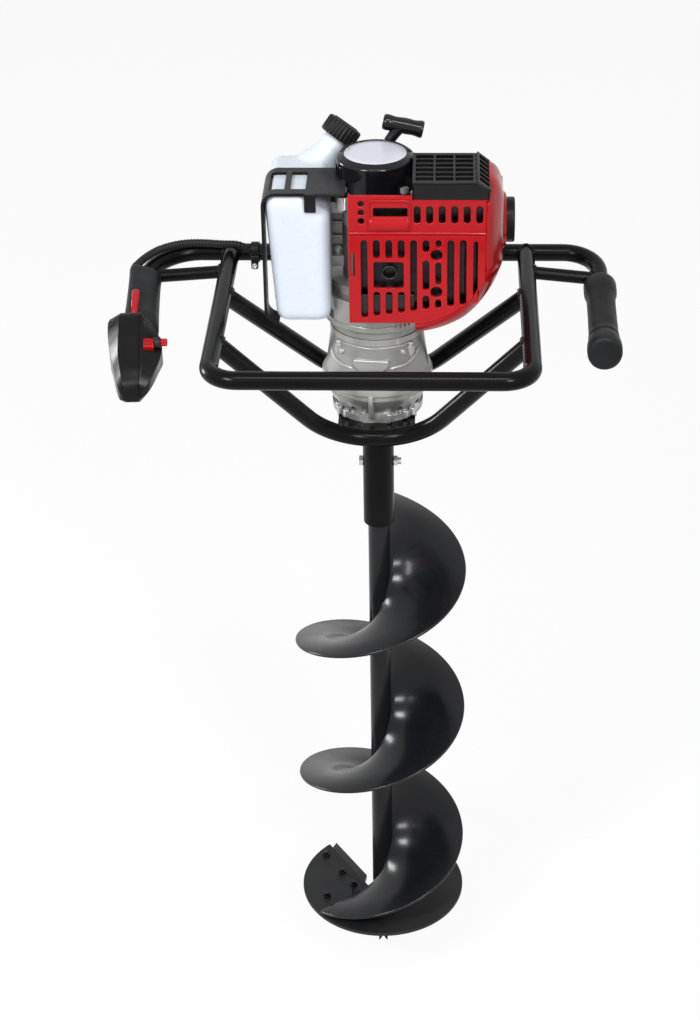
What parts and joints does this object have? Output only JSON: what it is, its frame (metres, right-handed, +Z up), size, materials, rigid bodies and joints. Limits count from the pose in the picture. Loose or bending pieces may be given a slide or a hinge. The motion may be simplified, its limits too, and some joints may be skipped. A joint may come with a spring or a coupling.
{
  "type": "earth auger",
  "caption": "Petrol earth auger with a tubular two-handed frame, a red shrouded engine, a reduction gearbox and a screw drill with a pilot point and cutting disc.",
  "frame": {"origin": "on the drill axis, at the shoulder where the round shank of the pilot leaves its hub", "axes": "+Z up along the drill axis, +X to the operator right hand grip, the operator stands at -Y"},
  "size_m": [0.5373, 0.3591, 1.0997],
  "materials": {
    "drill_paint": "gloss blue black paint",
    "frame_paint": "gloss black powder coat",
    "steel": "machined, oiled",
    "alloy": "die cast, blasted",
    "red_plastic": "gloss",
    "black_plastic": "fine grain",
    "badge_plastic": "plain, gloss",
    "tank_plastic": "milky, satin",
    "rubber": "matt",
    "rope": "braided"
  },
  "bodies": {
    "frame_and_engine": {"lower_case": "alloy", "bearing_plate": "alloy", "upper_case": "alloy", "bearings": "steel", "case_screws": "steel", "fan_housing": "alloy", "crankcase_lower": "alloy", "crankcase_upper": "alloy", "cylinder_block": "alloy", "spark_plug": "steel", "muffler": "frame_paint", "carburettor": "alloy", "air_cleaner": "black_plastic", "engine_shroud": "red_plastic", "end_cover": "black_plastic", "louvre_cover": "black_plastic", "recoil_housing": "black_plastic", "recoil_badge": "badge_plastic", "starter_rope": "rope", "fuel_tank": "tank_plastic", "tank_guard": "black_plastic", "handle_tube": "frame_paint", "guard_loop": "frame_paint", "front_v_tube": "frame_paint", "rear_v_tube": "frame_paint", "handle_braces": "frame_paint", "mounting_plate": "frame_paint", "right_grip": "rubber", "left_grip": "rubber", "throttle_case_outer": "black_plastic", "throttle_case_inner": "black_plastic", "throttle_cable": "rubber", "cable_conduit": "rubber", "cable_clamp": "black_plastic"},
    "drill": {"pilot_point": "drill_paint", "base_disc": "drill_paint", "cutter_blade": "steel", "blade_bolts": "steel", "drill_tube": "drill_paint", "drill_flight": "drill_paint", "drive_socket": "frame_paint", "drive_pin": "steel", "output_shaft": "steel", "output_gear": "steel"},
    "layshaft": {"intermediate_gear": "steel"},
    "clutch_drum_body": {"clutch_drum": "steel"},
    "crank": {"crankshaft": "steel", "flywheel": "alloy", "clutch_shoes": "steel"},
    "piston_set": {"piston": "alloy", "rod_pins": "steel", "connecting_rod": "steel"},
    "pulley": {"starter_pulley": "black_plastic"},
    "pull_grip": {"starter_grip": "black_plastic"},
    "carburettor_arm": {"throttle_arm": "steel"},
    "filler_cap": {"fuel_cap": "black_plastic"},
    "trigger": {"throttle_trigger": "black_plastic"},
    "lock": {"lock_lever": "red_plastic"},
    "switch": {"stop_switch": "red_plastic"},
    "button": {"throttle_button": "red_plastic"}
  },
  "joints": [
    {"name": "auger_spin", "type": "hinge", "parent": "frame_and_engine", "child": "drill", "pos_m": [0, 0, 0.3], "axis": [0, 0, -1], "continuous": true},
    {"name": "layshaft_spin", "type": "hinge", "parent": "frame_and_engine", "child": "layshaft", "pos_m": [0, 0.0324, 0.74], "axis": [0, 0, -1], "continuous": true},
    {"name": "drum_spin", "type": "hinge", "parent": "frame_and_engine", "child": "clutch_drum_body", "pos_m": [0, 0, 0.79], "axis": [0, 0, -1], "continuous": true},
    {"name": "crank_spin", "type": "hinge", "parent": "frame_and_engine", "child": "crank", "pos_m": [0, 0, 0.85], "axis": [0, 0, -1], "continuous": true},
    {"name": "piston_stroke", "type": "slide", "parent": "frame_and_engine", "child": "piston_set", "axis": [1, 0, 0], "range_m": [-0.028, 0]},
    {"name": "grip_pull", "type": "slide", "parent": "frame_and_engine", "child": "pull_grip", "axis": [0.5996, 0.2199, 0.7695], "range_m": [0, 0.45]},
    {"name": "pulley_spin", "type": "hinge", "parent": "frame_and_engine", "child": "pulley", "pos_m": [0, 0, 0.967], "axis": [0, 0, -1], "range_deg": [-5, 960]},
    {"name": "cap_lift", "type": "slide", "parent": "frame_and_engine", "child": "filler_cap", "axis": [0.5711, 0.2805, 0.7715], "range_m": [0, 0.06]},
    {"name": "trigger_squeeze", "type": "hinge", "parent": "frame_and_engine", "child": "trigger", "pos_m": [-0.24407, -0.11218, 0.80368], "axis": [0.9984, 0.0566, 0], "range_deg": [0, 12]},
    {"name": "arm_swing", "type": "hinge", "parent": "frame_and_engine", "child": "carburettor_arm", "pos_m": [0.074, 0.0603, 0.934], "axis": [0, 0, -1], "range_deg": [-0.5, 37]},
    {"name": "lock_press", "type": "hinge", "parent": "frame_and_engine", "child": "lock", "pos_m": [-0.25051, -0.10452, 0.85206], "axis": [-0.9984, -0.0566, 0], "range_deg": [0, 4.5]},
    {"name": "switch_slide", "type": "slide", "parent": "frame_and_engine", "child": "switch", "axis": [0.0562, -0.9906, -0.1251], "range_m": [0, 0.006]},
    {"name": "button_press", "type": "slide", "parent": "frame_and_engine", "child": "button", "axis": [-0.9984, -0.0566, 0], "range_m": [0, 0.003]}
  ],
  "couplings": [
    {"joint": "layshaft_spin", "follows": "auger_spin", "ratio": -5},
    {"joint": "drum_spin", "follows": "auger_spin", "ratio": 25},
    {"joint": "pulley_spin", "follows": "grip_pull", "rad_per_m": 37.037},
    {"joint": "arm_swing", "follows": "trigger_squeeze", "ratio": 3}
  ]
}
